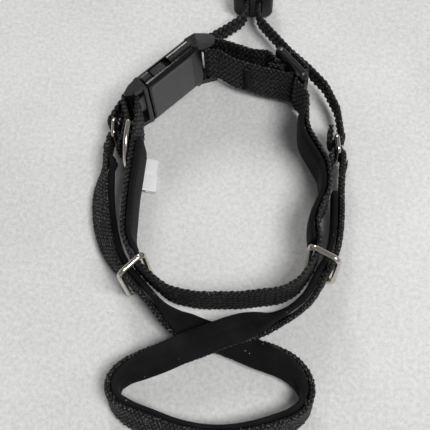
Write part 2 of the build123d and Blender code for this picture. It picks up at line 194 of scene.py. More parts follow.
def evenly(line, pace):
    """The same line with its points a set distance apart."""
    far = np.concatenate([[0], np.cumsum(np.linalg.norm(np.diff(line, axis=0), axis=1))])
    keep = np.concatenate([[True], np.diff(far) > 1e-9])
    line, far = line[keep], far[keep]
    marks = np.linspace(0, far[-1], max(3, int(round(far[-1] / pace)) + 1))
    return np.stack([np.interp(marks, far, line[:, k]) for k in range(line.shape[1])], axis=1)


def upright(plan, middle_z, off=0.0):
    """Stations of a band standing on edge: its middle, its width's way and its left face's way.

    off moves it to the right.
    """
    run = np.gradient(plan, axis=0)
    run /= np.linalg.norm(run, axis=1)[:, None]
    left = np.stack([-run[:, 1], run[:, 0], np.zeros(len(run))], axis=1)
    middle = np.column_stack([plan, np.full(len(plan), middle_z)]) - left * off
    return middle, np.tile((0.0, 0.0, 1.0), (len(plan), 1)), left


def bone(width, thick, columns):
    """A band's cross-section, flat faces with round edges: place and way out across and through it."""
    half, r = width / 2, thick / 2
    flat = np.linspace(-(half - r), half - r, columns)
    turn = np.linspace(0, math.pi, 7)[1:-1]
    none, one = np.zeros(columns), np.ones(columns)
    w = np.concatenate([flat, half - r + r * np.sin(turn), flat[::-1], -(half - r) - r * np.sin(turn)])
    t = np.concatenate([one * r, r * np.cos(turn), -one * r, -r * np.cos(turn)])
    nw = np.concatenate([none, np.sin(turn), none, -np.sin(turn)])
    nt = np.concatenate([one, np.cos(turn), -one, -np.cos(turn)])
    round_edge = np.concatenate([none, np.ones(5), none, np.ones(5)])
    step = np.hypot(np.diff(w, append=w[0]), np.diff(t, append=t[0]))
    v = np.concatenate([[flat[0]], flat[0] + np.cumsum(step)])
    return w, t, nw, nt, round_edge, v


def strap_mesh(name, stations, width, thick, relief, columns, finish):
    """Sweep a band's cross-section along its stations, raised by relief(along, across, side, edge)."""
    middle, wide, face = stations
    w, t, nw, nt, edge, v = bone(width, thick, columns)
    along = np.concatenate([[0], np.cumsum(np.linalg.norm(np.diff(middle, axis=0), axis=1))])
    grid = np.meshgrid(along, w, indexing="ij")
    lift = relief(grid[0], grid[1], np.sign(nt)[None, :], edge[None, :])
    across = w[None, :] + nw[None, :] * lift
    through = t[None, :] + nt[None, :] * lift
    places = middle[:, None] + wide[:, None] * across[..., None] + face[:, None] * through[..., None]
    places = (places + PLAN_ZERO) * MM
    rows, count = len(along), len(w)
    ids = np.arange(rows * count).reshape(rows, count)
    nxt = np.roll(ids, -1, axis=1)
    quads = np.stack([ids[:-1], nxt[:-1], nxt[1:], ids[1:]], axis=-1).reshape(-1, 4)
    made = bpy.data.meshes.new(name)
    made.from_pydata(places.reshape(-1, 3).tolist(), [],
                     quads.tolist() + [ids[0][::-1].tolist(), ids[-1].tolist()])
    lay = made.uv_layers.new(name="strap_mm")
    a0 = np.repeat(along[:-1], count)
    a1 = np.repeat(along[1:], count)
    v0, v1 = np.tile(v[:-1], rows - 1), np.tile(v[1:], rows - 1)
    spread = np.stack([a0, v0, a0, v1, a1, v1, a1, v0], axis=1).reshape(-1, 2)
    ends = np.concatenate([np.column_stack([np.zeros(count), w[::-1]]),
                           np.column_stack([np.full(count, along[-1]), w])])
    lay.data.foreach_set("uv", np.concatenate([spread, ends]).astype(np.float32).ravel())
    made.polygons.foreach_set("use_smooth", [True] * len(made.polygons))
    made.materials.append(finish)
    made.update()
    piece = bpy.data.objects.new(name, made)
    scene.collection.objects.link(piece)
    return piece


def ribbed(rib, yarn, height, knot):
    """Ribs across the band, broken from yarn to yarn, and a knot at each rib along its edges."""
    def relief(s, w, side, edge):
        column = np.floor(w / yarn)
        selvedge = np.abs(w) > np.abs(w).max() - 2.2 * yarn
        beat = 0.5 + 0.5 * np.cos(2 * np.pi * (s / rib + 0.5 * np.mod(column, 2) * selvedge))
        valley = np.where(selvedge, np.sqrt(np.abs(np.sin(np.pi * w / yarn))),
                          0.72 + 0.28 * np.abs(np.sin(np.pi * w / yarn)))
        loose = 0.72 + 0.28 * np.sin(np.floor(s / rib) * 2.4 + column * 1.7 + 0.7 * np.sin(s * 0.9))
        knots = 0.5 + 0.5 * np.cos(2 * np.pi * s / rib + side * 1.1)
        return np.where(edge > 0, knot * knots * loose, height * beat * valley * loose) - height * 0.5
    return relief


# weave shared by every strap: fine yarn under the ribs. Its Shade output is high on the yarn peaks; in the
# webbing's colour it gives painted highlights there and painted shade in the valleys.
weave = bpy.data.node_groups.new("woven_yarn", "ShaderNodeTree")
for label, value in (("Rib", 1.8), ("Yarn", 1.55), ("Fibre", 0.5)):
    weave.interface.new_socket(name=label, in_out="INPUT", socket_type="NodeSocketFloat").default_value = value
for label in ("Height", "Shade"):
    weave.interface.new_socket(name=label, in_out="OUTPUT", socket_type="NodeSocketFloat")
given = weave.nodes.new("NodeGroupInput").outputs
mesh_place = place(weave, "UVMap", uv_map="strap_mm").outputs[0]
cell = place(weave, "SeparateXYZ", {0: mesh_place}).outputs
column = reckon(weave, "FLOOR", reckon(weave, "DIVIDE", cell["Y"], given["Yarn"]))
odd = reckon(weave, "MULTIPLY", reckon(weave, "MODULO", column, 2.0), 0.5)
turn = reckon(weave, "MULTIPLY",
              reckon(weave, "ADD", reckon(weave, "DIVIDE", cell["X"], given["Rib"]), odd), 2 * math.pi)
beat = reckon(weave, "MULTIPLY_ADD", reckon(weave, "COSINE", turn), 0.5, 0.5)
valley = reckon(weave, "ABSOLUTE", reckon(weave, "SINE", reckon(weave, "MULTIPLY", reckon(
    weave, "DIVIDE", cell["Y"], given["Yarn"]), math.pi)))
body_of_yarn = reckon(weave, "MULTIPLY", beat, reckon(weave, "POWER", valley, 0.5))
stretched = place(weave, "Mapping", {"Vector": mesh_place, "Scale": (7.0, 1.6, 1.0)})
strands = place(weave, "TexNoise", {"Vector": stretched.outputs[0], "Scale": 2.4, "Detail": 3.0,
                                     "Roughness": 0.6})
fibre = reckon(weave, "MULTIPLY", strands.outputs["Fac"], given["Fibre"])
out = weave.nodes.new("NodeGroupOutput")
weave.links.new(reckon(weave, "ADD", body_of_yarn, fibre), out.inputs["Height"])
weave.links.new(reckon(weave, "MULTIPLY_ADD", body_of_yarn, 0.75, reckon(weave, "MULTIPLY", fibre, 0.5)),
                out.inputs["Shade"])

# lint and painted glints shared by every cloth: small light specks; on the linings they are lint, on the
# webbing they are partly lint and partly painted glints
lint_and_glint_specks = bpy.data.node_groups.new("lint_and_painted_glints", "ShaderNodeTree")
for label, value in (("Scale", 1250.0), ("Share", 0.1), ("Size", 0.25)):
    lint_and_glint_specks.interface.new_socket(name=label, in_out="INPUT", socket_type="NodeSocketFloat").default_value = value
lint_and_glint_specks.interface.new_socket(name="Mask", in_out="OUTPUT", socket_type="NodeSocketFloat")
given = lint_and_glint_specks.nodes.new("NodeGroupInput").outputs
specks = place(lint_and_glint_specks, "TexVoronoi", {"Vector": place(lint_and_glint_specks, "TexCoord").outputs["Object"],
                                    "Scale": given["Scale"]})
chosen = reckon(lint_and_glint_specks, "LESS_THAN", place(lint_and_glint_specks, "SeparateColor", {0: specks.outputs["Color"]}).outputs[0],
                given["Share"])
near = reckon(lint_and_glint_specks, "LESS_THAN", specks.outputs["Distance"], given["Size"])
out = lint_and_glint_specks.nodes.new("NodeGroupOutput")
lint_and_glint_specks.links.new(reckon(lint_and_glint_specks, "MULTIPLY", chosen, near), out.inputs["Mask"])


def over(tree, mask, under_colour, top_colour):
    """One colour laid over another where a mask is high."""
    mixed = place(tree, "Mix", data_type="RGBA")
    for index, value in ((0, mask), (6, under_colour), (7, top_colour)):
        if isinstance(value, bpy.types.NodeSocket):
            tree.links.new(value, mixed.inputs[index])
        else:
            mixed.inputs[index].default_value = (*value, 1)
    return mixed.outputs[2]


def webbing_finish(name, rib, yarn, dark, light, lint_and_glint_share, lint_and_glint_size, bump):
    """Black nylon webbing: painted highlights on its yarn peaks and painted shade in its valleys, flecked with
    specks that are part lint and part painted glints, and a little shiny on its yarns.
    """
    made, tree, shader, spot = finish_named(name)
    yarns = place(tree, "Group", node_tree=weave)
    yarns.inputs["Rib"].default_value, yarns.inputs["Yarn"].default_value = rib, yarn
    flecks = place(tree, "Group", node_tree=lint_and_glint_specks)
    flecks.inputs["Share"].default_value, flecks.inputs["Size"].default_value = lint_and_glint_share, lint_and_glint_size
    # painted highlight and shade: the light colour lands on the yarn peaks, the dark colour in the valleys
    cloth = shades(tree, yarns.outputs["Shade"], dark, light, 0.45, 1.0)
    # light grey specks laid over the cloth: partly lint, partly painted glints on the yarn
    tree.links.new(over(tree, flecks.outputs["Mask"], cloth, (0.15, 0.15, 0.155)),
                   shader.inputs["Base Color"])
    gloss = reckon(tree, "MULTIPLY_ADD", yarns.outputs["Shade"], -0.6, 0.84)
    tree.links.new(gloss, shader.inputs["Roughness"])
    shader.inputs["Specular IOR Level"].default_value = 0.3
    shader.inputs["Sheen Weight"].default_value = 0.02
    raised = place(tree, "Bump", {"Height": yarns.outputs["Height"], "Strength": bump, "Distance": 0.0005})
    tree.links.new(raised.outputs["Normal"], shader.inputs["Normal"])
    return made


# the second colour of each webbing is its painted highlight on the yarn peaks
collar_finish = webbing_finish("collar_webbing_finish", COLLAR_RIB, COLLAR_YARN, (0.0010, 0.0010, 0.0012),
                               (0.055, 0.055, 0.058), 0.3, 0.27, 1.0)
weave_of_collar = ribbed(COLLAR_RIB, COLLAR_YARN, 0.6, 0.45)
BUCKLE_ANGLE, GLIDE_ANGLE = 48.6, -47.0
buckle = beside((-45.0, 152.2), BUCKLE_ANGLE)
glide = beside((1.0, 156.0), GLIDE_ANGLE)
GLIDE_UNDER = -2.45
collar_corners = [
    glide(7.0, GLIDE_UNDER), (7.6, 144.8), (8.2, 132.0), (16.6, 118.5),
    (17.9, 109.0), (13.6, 97.0), (15.6, 87.6),
    (12.5, 80.0), (9.2, 74.6), (4.0, 70.8), (-10.0, 67.8), (-24.0, 66.4), (-34.0, 67.6), (-41.3, 72.6),
    (-48.2, 78.4), (-52.4, 86.0), (-53.6, 104.0), (-53.6, 123.7)]
collar_arcs = [3, 14, 12, 18, 14, 10, 10, 10, 14, 30, 30, 14, 10, 10, 20, 60]
collar_middle = STRAP_Z + STRAP_W / 2
collar_run = bent_run(collar_corners, collar_arcs)
collar_strap = strap_mesh("collar_strap", upright(collar_run, collar_middle), STRAP_W - 0.5, STRAP_T - 0.3,
                          weave_of_collar, 38, collar_finish)
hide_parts("collar_webbing")
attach(collar_strap, "halter")

# ---------------------------------------------------------------- collar webbing: the fold round the plug's bar
# The left cheek's end passes round the plug's bar and is sewn back on itself over the D-ring's straight side.
BAR_D, FIT, DEE_WIRE = 2.8, 0.2, 1.6
fold_r = BAR_D / 2 + FIT + STRAP_T / 2
plug_x, plug_y = buckle(-18.6, -0.3)
tail_x = -53.6 - STRAP_T - DEE_WIRE - 2 * FIT
plug_corners = [(-53.6, 123.5), (-53.6, 131.0), (plug_x + fold_r, plug_y - 2),
                (plug_x + fold_r, plug_y + fold_r),
                (plug_x - fold_r, plug_y + fold_r), (plug_x - fold_r, plug_y - 2),
                (tail_x, 132.0), (tail_x, 122.0)]
plug_fold = strap_mesh("plug_fold", upright(bent_run(plug_corners, [6, 3, 2.4, 2.4, 3, 6]), collar_middle),
                       STRAP_W - 0.5, STRAP_T - 0.3, weave_of_collar, 38, collar_finish)
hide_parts("left_webbing")
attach(plug_fold, "halter")

# ---------------------------------------------------------------- collar webbing: the adjustable back
# One band is folded round the tri-glide's middle bar, runs to the socket's bar as the inner layer, and comes
# back outside it, up, over and down through the tri-glide. It is three meshes that meet between the two
# fittings.
GLIDE_RAIL, GLIDE_SLOT = 2.8, 4.4
bar_off = GLIDE_RAIL / 2 + FIT + STRAP_T / 2
slot_middle = GLIDE_RAIL / 2 + GLIDE_SLOT - FIT - STRAP_T / 2
glide_over = bar_off + STRAP_T + FIT
socket_x, socket_y = buckle(18.4, -4.0)
back_corners = [
    glide(-6.2, -5.9), glide(-bar_off, -3.3), glide(-bar_off, bar_off), glide(bar_off, bar_off),
    glide(bar_off, -2.5), (-10.0, 154.4), (-21.0, 157.4), (socket_x + 3, socket_y - fold_r),
    (socket_x - fold_r, socket_y - fold_r), (socket_x - fold_r, socket_y + fold_r),
    (socket_x + 3, socket_y + fold_r), (-14.0, 162.0), glide(-10.4, GLIDE_UNDER),
    glide(-slot_middle, GLIDE_UNDER), glide(-slot_middle, glide_over), glide(slot_middle, glide_over),
    glide(slot_middle, GLIDE_UNDER), glide(10.0, GLIDE_UNDER)]
back_arcs = [1.0, 1.2, 1.2, 1.0, 8, 12, 4, 2.4, 2.4, 4, 10, 3, 1.3, 1.3, 1.3, 1.3]
back_run = bent_run(back_corners, back_arcs, 0.4)
MEETING_X = -13.5
away = np.flatnonzero(back_run[:, 0] < MEETING_X)
first, last = away[0], away[-1]
glide_end = (*((np.array((-4.0, 156.0, 13.0)) + PLAN_ZERO) * MM),)
meeting = (*((np.array((MEETING_X + 0.5, 159.0, 13.0)) + PLAN_ZERO) * MM),)
socket_near = (*((np.array((MEETING_X - 4.0, 159.5, 13.0)) + PLAN_ZERO) * MM),)
socket_end = (*((np.array((socket_x + 3.0, socket_y, 13.0)) + PLAN_ZERO) * MM),)
for name, run, pair, start, end in (
        ("glide_fold", back_run[:first + 1], ("glide", "halter"), glide_end, meeting),
        ("back_strap", back_run[first:last + 1], ("halter", "socket"), socket_near, socket_end),
        ("glide_weave", back_run[last:], ("glide", "halter"), glide_end, meeting)):
    piece = strap_mesh(name, upright(run, collar_middle), STRAP_W - 0.5, STRAP_T - 0.3, weave_of_collar, 38,
                       collar_finish)
    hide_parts("back_webbing")
    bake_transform(piece)

# ---------------------------------------------------------------- cheek linings
# A soft charcoal pad is sewn behind the webbing on each cheek; its face is crowned between two stitch lines.
PAD_T, PAD_W = 2.0, 18.0


def cushioned(width, crown, seams=(0.0,), pitch=2.6):
    """A pad's free face, crowned across its width and pulled in where its stitches pass."""
    def relief(s, w, side, edge):
        swell = crown * (1 - (2 * w / width) ** 2)
        for seam in seams:
            pull = 0.75 + 0.25 * np.cos(2 * np.pi * s / pitch)
            swell = swell - 0.75 * crown * pull * np.exp(-((w - seam) / 0.55) ** 2)
        return np.where(side * (edge < 1) > 0, swell, 0.0)
    return relief


def lining_finish(name, dark, light):
    """Charcoal foam-backed cloth: a fine felted nap with a little lint and a soft sheen."""
    made, tree, shader, spot = finish_named(name)
    nap = place(tree, "TexNoise", {"Vector": spot, "Scale": 2600.0, "Detail": 4.0, "Roughness": 0.65})
    drift = place(tree, "TexNoise", {"Vector": spot, "Scale": 120.0, "Detail": 2.0})
    depth = reckon(tree, "MULTIPLY_ADD", nap.outputs["Fac"], 0.6,
                   reckon(tree, "MULTIPLY", drift.outputs["Fac"], 0.4))
    flecks = place(tree, "Group", node_tree=lint_and_glint_specks)
    flecks.inputs["Scale"].default_value, flecks.inputs["Share"].default_value = 700.0, 0.04
    flecks.inputs["Size"].default_value = 0.16
    cloth = shades(tree, depth, dark, light, 0.3, 0.7)
    tree.links.new(over(tree, flecks.outputs["Mask"], cloth, (0.2, 0.2, 0.21)),
                   shader.inputs["Base Color"])
    shader.inputs["Roughness"].default_value = 0.9
    shader.inputs["Specular IOR Level"].default_value = 0.12
    shader.inputs["Sheen Weight"].default_value = 0.03
    raised = place(tree, "Bump", {"Height": nap.outputs["Fac"], "Strength": 0.5, "Distance": 0.00015})
    tree.links.new(raised.outputs["Normal"], shader.inputs["Normal"])
    return made


cheek_finish = lining_finish("cheek_lining_finish", (0.0015, 0.0015, 0.0017), (0.009, 0.009, 0.010))
pad_off = STRAP_T / 2 + GAP + PAD_T / 2
right_pad = [(8.0, 138.0), (8.2, 132.0), (16.6, 118.5), (17.9, 109.0), (13.6, 97.0), (15.12, 90.0)]
left_pad = [(-50.4, 82.1), (-52.4, 86.0), (-53.6, 104.0), (-53.6, 122.6)]
for name, node, corners, arcs in (("right_cheek_pad", "right_lining", right_pad, [14, 12, 18, 14]),
                                  ("left_cheek_pad", "left_lining", left_pad, [20, 60])):
    middle, wide, left = upright(bent_run(corners, arcs), collar_middle, pad_off - 0.1)
    pad = strap_mesh(name, (middle, wide, -left), PAD_W, PAD_T - 0.5, cushioned(PAD_W, 0.55, (-7.2, 7.2)), 30,
                     cheek_finish)
    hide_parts(node)
    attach(pad, "halter")

# ---------------------------------------------------------------- nose strap
# A thick narrow webbing, speckled with lint, is lined inside with soft charcoal cloth. It stands at the
# cheeks, lies over where it crosses itself, and leans back round the front; each end is folded round a ring.
NOSE_W, NOSE_T, NOSE_PAD_T, NOSE_GAP = 10.0, 2.3, 2.2, 0.55
RING_WIRE, RING_W, RING_H = 1.6, 8.5, 15.0
END_Z = RING_H / 2
FOLD_Y, TAIL = 126.6, 6.0
nose_line = np.array([
    (-63.6, 121.0, END_Z, 0), (-63.8, 119.0, 7.4, 0), (-64.4, 113.0, 6.8, 24), (-64.3, 105.0, 6.5, 42),
    (-62.6, 96.0, 6.5, 46),
    (-59.5, 87.5, 6.6, 38), (-55.6, 80.8, 7.1, 22), (-50.9, 75.7, 7.4, 6), (-47.2, 72.65, 7.4, 0),
    (-43.7, 69.4, 7.2, -3), (-38.6, 65.0, 6.6, -12), (-32.4, 60.8, 5.6, -42), (-26.5, 58.6, 4.0, -78),
    (-21.0, 57.2, 3.2, -88), (-15.5, 56.0, 3.0, -90), (-10.0, 54.4, 3.1, -92), (-4.5, 52.6, 3.9, -103),
    (1.5, 50.8, 5.5, -124), (7.5, 48.6, 5.9, -138), (12.2, 45.0, 5.9, -156), (14.6, 40.2, 5.8, -174),
    (13.8, 35.4, 5.8, -188), (10.4, 31.6, 5.8, -198), (5.0, 28.6, 5.8, -206), (-2.0, 25.6, 5.8, -212),
    (-10.0, 23.4, 5.8, -218), (-19.0, 22.6, 5.8, -222), (-28.0, 23.6, 5.8, -222), (-36.0, 25.8, 5.8, -218),
    (-43.2, 28.2, 5.8, -208), (-48.4, 31.8, 5.8, -190), (-49.6, 36.8, 5.8, -172), (-46.4, 41.2, 5.9, -152),
    (-41.0, 44.2, 6.6, -134), (-34.6, 47.0, 8.4, -113), (-28.0, 50.0, 10.15, -96), (-21.6, 53.2, 9.8, -92),
    (-15.5, 56.3, 9.9, -90), (-9.8, 58.8, 9.7, -87), (-4.2, 60.9, 8.8, -62), (1.8, 63.4, 7.2, -28),
    (8.0, 67.2, 6.9, -12), (13.0, 72.4, 7.2, -4), (16.2, 78.6, 7.4, 0), (17.8, 82.5, 7.4, 0),
    (19.7, 86.4, 7.3, 0), (21.4, 94.0, 6.4, 0), (21.8, 103.0, 6.1, 0), (21.4, 112.0, 6.6, 0),
    (21.2, 121.0, END_Z, 0)])


def through_knots(knots, per_run=24):
    """A smooth line through each knot, as a springy strap takes it."""
    padded = np.vstack([2 * knots[0] - knots[1], knots, 2 * knots[-1] - knots[-2]])
    u = np.linspace(0, 1, per_run, endpoint=False)[:, None]
    pieces = []
    for a, b, c, d in zip(padded, padded[1:], padded[2:], padded[3:]):
        pieces.append(0.5 * (2 * b + (c - a) * u
                             + (2 * a - 5 * b + 4 * c - d) * u ** 2 + (3 * b - a - 3 * c + d) * u ** 3))
    return np.vstack([*pieces, knots[-1:]])


def nose_stations(line, off):
    """Stations of the nose strap, moved across it towards its lining."""
    run = np.gradient(line[:, :2], axis=0)
    run /= np.linalg.norm(run, axis=1)[:, None]
    left = np.stack([-run[:, 1], run[:, 0], np.zeros(len(run))], axis=1)
    lean = np.radians(line[:, 3])[:, None]
    up = np.array((0.0, 0.0, 1.0))
    wide = up * np.cos(lean) + left * np.sin(lean)
    face = left * np.cos(lean) - up * np.sin(lean)
    return line[:, :3] + face * off, wide, face


nose_smooth = through_knots(nose_line)
nose_off = (NOSE_T + NOSE_GAP) / 2
nose_r = RING_WIRE / 2 + FIT + NOSE_T / 2
ring_bars = {"left": (nose_line[0][0] - nose_off + nose_r, FOLD_Y),
             "right": (nose_line[-1][0] + nose_off - nose_r, FOLD_Y)}


def even_stations(stations, pace):
    """The same stations a set distance apart along their middle."""
    joined = evenly(np.hstack(stations), pace)
    return joined[:, :3], joined[:, 3:6], joined[:, 6:9]


def nose_fold(side, way):
    """The webbing's end, from its tail up round the ring's bar and down to where the nose strap starts."""
    x, y = ring_bars[side]
    corners = [(x + way * nose_r, y - TAIL + 2), (x + way * nose_r, y + nose_r), (x - way * nose_r, y + nose_r),
               (x - way * nose_r, 121.05)]
    middle, wide, left = upright(bent_run(corners, [nose_r - 0.05] * 2, 0.3), END_Z)
    return middle, wide, left * way


# the second colour is the painted highlight on the yarn peaks
nose_finish = webbing_finish("nose_webbing_finish", 1.5, 1.25, (0.0010, 0.0010, 0.0012),
                             (0.065, 0.065, 0.068), 0.5, 0.3, 1.0)
tail_left = nose_fold("left", 1)
tail_right = tuple(part[::-1] for part in nose_fold("right", -1))
main = nose_stations(nose_smooth, -nose_off + 0.12)
nose_all = even_stations([np.vstack([a, b[2:-2], c]) for a, b, c in zip(tail_left, main, tail_right)], 0.38)
nose_webbing = strap_mesh("nose_strap", nose_all, NOSE_W - 0.4, NOSE_T - 0.35, ribbed(1.5, 1.25, 0.42, 0.4), 26,
                          nose_finish)
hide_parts("nose_webbing")
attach(nose_webbing, "halter")

nose_lining_finish = lining_finish("nose_lining_finish", (0.002, 0.002, 0.0023), (0.013, 0.013, 0.0145))
inner = nose_stations(nose_smooth[24:-24], (NOSE_PAD_T + NOSE_GAP) / 2 - 0.2)
nose_pad = strap_mesh("nose_pad", even_stations(inner, 0.6), NOSE_W - 0.1, NOSE_PAD_T - 0.4,
                      cushioned(NOSE_W, 0.5), 20, nose_lining_finish)
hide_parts("nose_lining")
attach(nose_pad, "halter")

# ---------------------------------------------------------------- control straps
# Two arms of thin braided webbing run back from the small rings, meet, pass through the keeper and are
# folded round the lead ring.
CTRL_W, CTRL_T, LEAD_WIRE = 8.0, 2.0, 2.4
RING_REACH = RING_W - RING_WIRE
far_bars = {"left": beside(ring_bars["left"], 96.0)(RING_REACH, 0),
            "right": beside(ring_bars["right"], 98.0)(RING_REACH, 0)}
ctrl_r = RING_WIRE / 2 + FIT + CTRL_T / 2
lead_x, lead_y = -16.6, 222.0
lead_off = LEAD_WIRE / 2 + FIT + CTRL_T / 2
join_y, fold_end = lead_y - 14.0, lead_y - 3.0 + CTRL_T / 2


def braided(pitch, height):
    """A flat braid: slanting strands that meet in a vee down the middle."""
    def relief(s, w, side, edge):
        slant = 0.5 + 0.5 * np.cos(2 * np.pi * (s - np.abs(w) * 0.8) / pitch)
        groove = 1 - 0.6 * np.exp(-(w / 0.5) ** 2)
        return height * slant * groove - height * 0.5
    return relief


# the second colour is the painted highlight on the yarn peaks
braid_finish = webbing_finish("control_braid_finish", 2.3, 2.0, (0.0010, 0.0010, 0.0012),
                              (0.050, 0.050, 0.053), 0.3, 0.27, 1.0)
lx_left, lx_right = lead_x - lead_off, lead_x + lead_off
bar_x, bar_y = far_bars["left"]
left_arm = [(bar_x + ctrl_r, bar_y + 5.5), (bar_x + ctrl_r, bar_y - ctrl_r), (bar_x - ctrl_r, bar_y - ctrl_r),
            (bar_x - ctrl_r, bar_y + 3), (-62.6, 143.6), (-50.8, 157.6), (-41.8, 167.4), (-34.0, 174.2),
            (-26.0, 180.6), (lx_left, 187.0), (lx_left, join_y)]
bar_x, bar_y = far_bars["right"]
right_arm = [(bar_x - ctrl_r, bar_y + 5.5), (bar_x - ctrl_r, bar_y - ctrl_r), (bar_x + ctrl_r, bar_y - ctrl_r),
             (bar_x + ctrl_r, bar_y + 3), (19.6, 147.0), (14.6, 157.0),
             (7.4, 164.6), (-0.4, 171.6), (-7.6, 179.6),
             (lx_right, 187.0), (lx_right, join_y)]
turn_r = ctrl_r - 0.05
FREE_BENDS = {"left": (-56.0, 151.5), "right": (14.6, 157.0)}     # a point on each arm a little way past its ring
for side, corners, arcs, free in (
        ("left", left_arm, [turn_r, turn_r, 5, 12, 30, 30, 30, 20, 9], FREE_BENDS["left"]),
        ("right", right_arm, [turn_r, turn_r, 5, 12, 10, 20, 20, 20, 9], FREE_BENDS["right"])):
    arm = strap_mesh(f"{side}_control_strap", upright(bent_run(corners, arcs, 0.4), END_Z), CTRL_W - 0.5,
                     CTRL_T - 0.5,
                     braided(2.3, 0.6), 20, braid_finish)
    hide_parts(f"{side}_control_webbing")
    start = (np.array((*far_bars[side], END_Z)) + PLAN_ZERO) * MM
    end = (np.array((*free, END_Z)) + PLAN_ZERO) * MM
    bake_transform(arm)

fold_corners = [(lx_left, join_y - 0.2), (lx_left, fold_end), (lx_right, fold_end), (lx_right, join_y - 0.2)]
lead_fold = strap_mesh("lead_fold", upright(bent_run(fold_corners, [lead_off - 0.1] * 2, 0.35), END_Z),
                       CTRL_W - 0.5,
                       CTRL_T - 0.5, braided(2.3, 0.6), 20, braid_finish)
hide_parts("lead_fold_webbing")
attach(lead_fold, "halter")

# ---------------------------------------------------------------- buckle, tri-glide and keeper
# The side-release buckle is moulded in hard black plastic: polished on its edges, satin on the broad faces,
# where thin grey plates paint the reflection of the pale table and lamps, and rubbed lighter where it is
# handled.
rubbed = bpy.data.node_groups.new("rubbed_plastic", "ShaderNodeTree")
for label, value in (("Scale", 400.0), ("Scratch", 0.5)):
    rubbed.interface.new_socket(name=label, in_out="INPUT", socket_type="NodeSocketFloat").default_value = value
for label in ("Mask", "Height"):
    rubbed.interface.new_socket(name=label, in_out="OUTPUT", socket_type="NodeSocketFloat")
given = rubbed.nodes.new("NodeGroupInput").outputs
spot = place(rubbed, "TexCoord").outputs["Object"]
patch = place(rubbed, "TexNoise", {"Vector": spot, "Scale": given["Scale"], "Detail": 4.0, "Roughness": 0.6})
pulled = place(rubbed, "Mapping", {"Vector": spot, "Rotation": (0.2, 0.1, 0.85), "Scale": (4.0, 60.0, 9.0)})
lines = place(rubbed, "TexNoise", {"Vector": pulled.outputs[0], "Scale": 90.0, "Detail": 3.0})
edge = reckon(rubbed, "MULTIPLY",
              reckon(rubbed, "SUBTRACT", place(rubbed, "NewGeometry").outputs["Pointiness"], 0.5), 6.0)
wear = reckon(rubbed, "ADD", reckon(rubbed, "MULTIPLY", patch.outputs["Fac"], 0.7),
              reckon(rubbed, "MAXIMUM", edge, 0.0))
out = rubbed.nodes.new("NodeGroupOutput")
rubbed.links.new(place(rubbed, "Clamp", {0: wear}).outputs[0], out.inputs["Mask"])
rubbed.links.new(reckon(rubbed, "ADD", patch.outputs["Fac"], reckon(rubbed, "MULTIPLY", lines.outputs["Fac"],
                                                                   given["Scratch"])), out.inputs["Height"])


def moulded_finish(name, dark, light, smooth, rough, coat, bump=0.12):
    """Hard plastic: its colour and gloss follow how much each place has been rubbed."""
    made, tree, shader, spot = finish_named(name)
    worn = place(tree, "Group", node_tree=rubbed)
    tree.links.new(shades(tree, worn.outputs["Mask"], dark, light, 0.3, 0.8), shader.inputs["Base Color"])
    gloss = reckon(tree, "MULTIPLY_ADD", worn.outputs["Mask"], rough - smooth, smooth)
    tree.links.new(gloss, shader.inputs["Roughness"])
    shader.inputs["Coat Weight"].default_value = coat
    shader.inputs["Coat Roughness"].default_value = 0.08
    raised = place(tree, "Bump", {"Height": worn.outputs["Height"], "Strength": bump, "Distance": 0.0001})
    tree.links.new(raised.outputs["Normal"], shader.inputs["Normal"])
    return made


def dress(node, finish):
    """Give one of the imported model's own pieces its finish."""
    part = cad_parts[node]
    part.data.materials.clear()
    part.data.materials.append(finish)


buckle_finish = moulded_finish("buckle_gloss_black", (0.001, 0.001, 0.0012),
                               (0.006, 0.006, 0.0065), 0.1, 0.24, 0.0)
glide_finish = moulded_finish("glide_satin_black", (0.0015, 0.0015, 0.0018),
                              (0.008, 0.008, 0.009), 0.2, 0.4, 0.1)
keeper_finish = moulded_finish("keeper_black", (0.002, 0.002, 0.0023), (0.010, 0.010, 0.011), 0.35, 0.55, 0.0)
# grey of the socket's broad faces: a painted reflection of the bright table and lamps on black plastic
reflection_face_finish = moulded_finish("buckle_face_painted_reflection", (0.055, 0.056, 0.058),
                             (0.095, 0.096, 0.098), 0.4, 0.6, 0.0, 0.2)
for node, finish in (("buckle_socket", buckle_finish), ("buckle_plug", buckle_finish),
                     ("latch_arm_upper", buckle_finish),
                     ("latch_arm_lower", buckle_finish), ("tri_glide", glide_finish),
                     ("lead_keeper", keeper_finish)):
    dress(node, finish)


def rounded_plate(name, centre, along, across, length, high, thick, corner, finish):
    """A thin plate standing on a broad face, with round corners and a soft rim."""
    ring = []
    for k in range(32):
        angle = 2 * math.pi * k / 32
        cu = math.copysign(length / 2 - corner, math.cos(angle)) + corner * math.cos(angle)
        cz = math.copysign(high / 2 - corner, math.sin(angle)) + corner * math.sin(angle)
        ring.append((cu, cz))
    along, across, up = np.array((*along, 0.0)), np.array((*across, 0.0)), np.array((0.0, 0.0, 1.0))
    points = []
    for inset, rise in ((0.0, 0.0), (0.0, 0.6 * thick), (0.3 * thick, 0.92 * thick), (0.9 * thick, thick)):
        for cu, cz in ring:
            shrink = 1 - 2 * inset / min(length, high)
            points.append((np.array(centre) + along * cu * shrink + up * cz * shrink
                           + across * rise + PLAN_ZERO) * MM)
    faces = [[r * 32 + k, r * 32 + (k + 1) % 32, (r + 1) * 32 + (k + 1) % 32, (r + 1) * 32 + k]
             for r in range(3) for k in range(32)]
    made = bpy.data.meshes.new(name)
    made.from_pydata([tuple(p) for p in points], [], faces + [list(range(96, 128)), list(range(32))[::-1]])
    made.polygons.foreach_set("use_smooth", [True] * (len(made.polygons) - 2) + [False, False])
    made.materials.append(finish)
    made.update()
    plate = bpy.data.objects.new(name, made)
    scene.collection.objects.link(plate)
    return plate


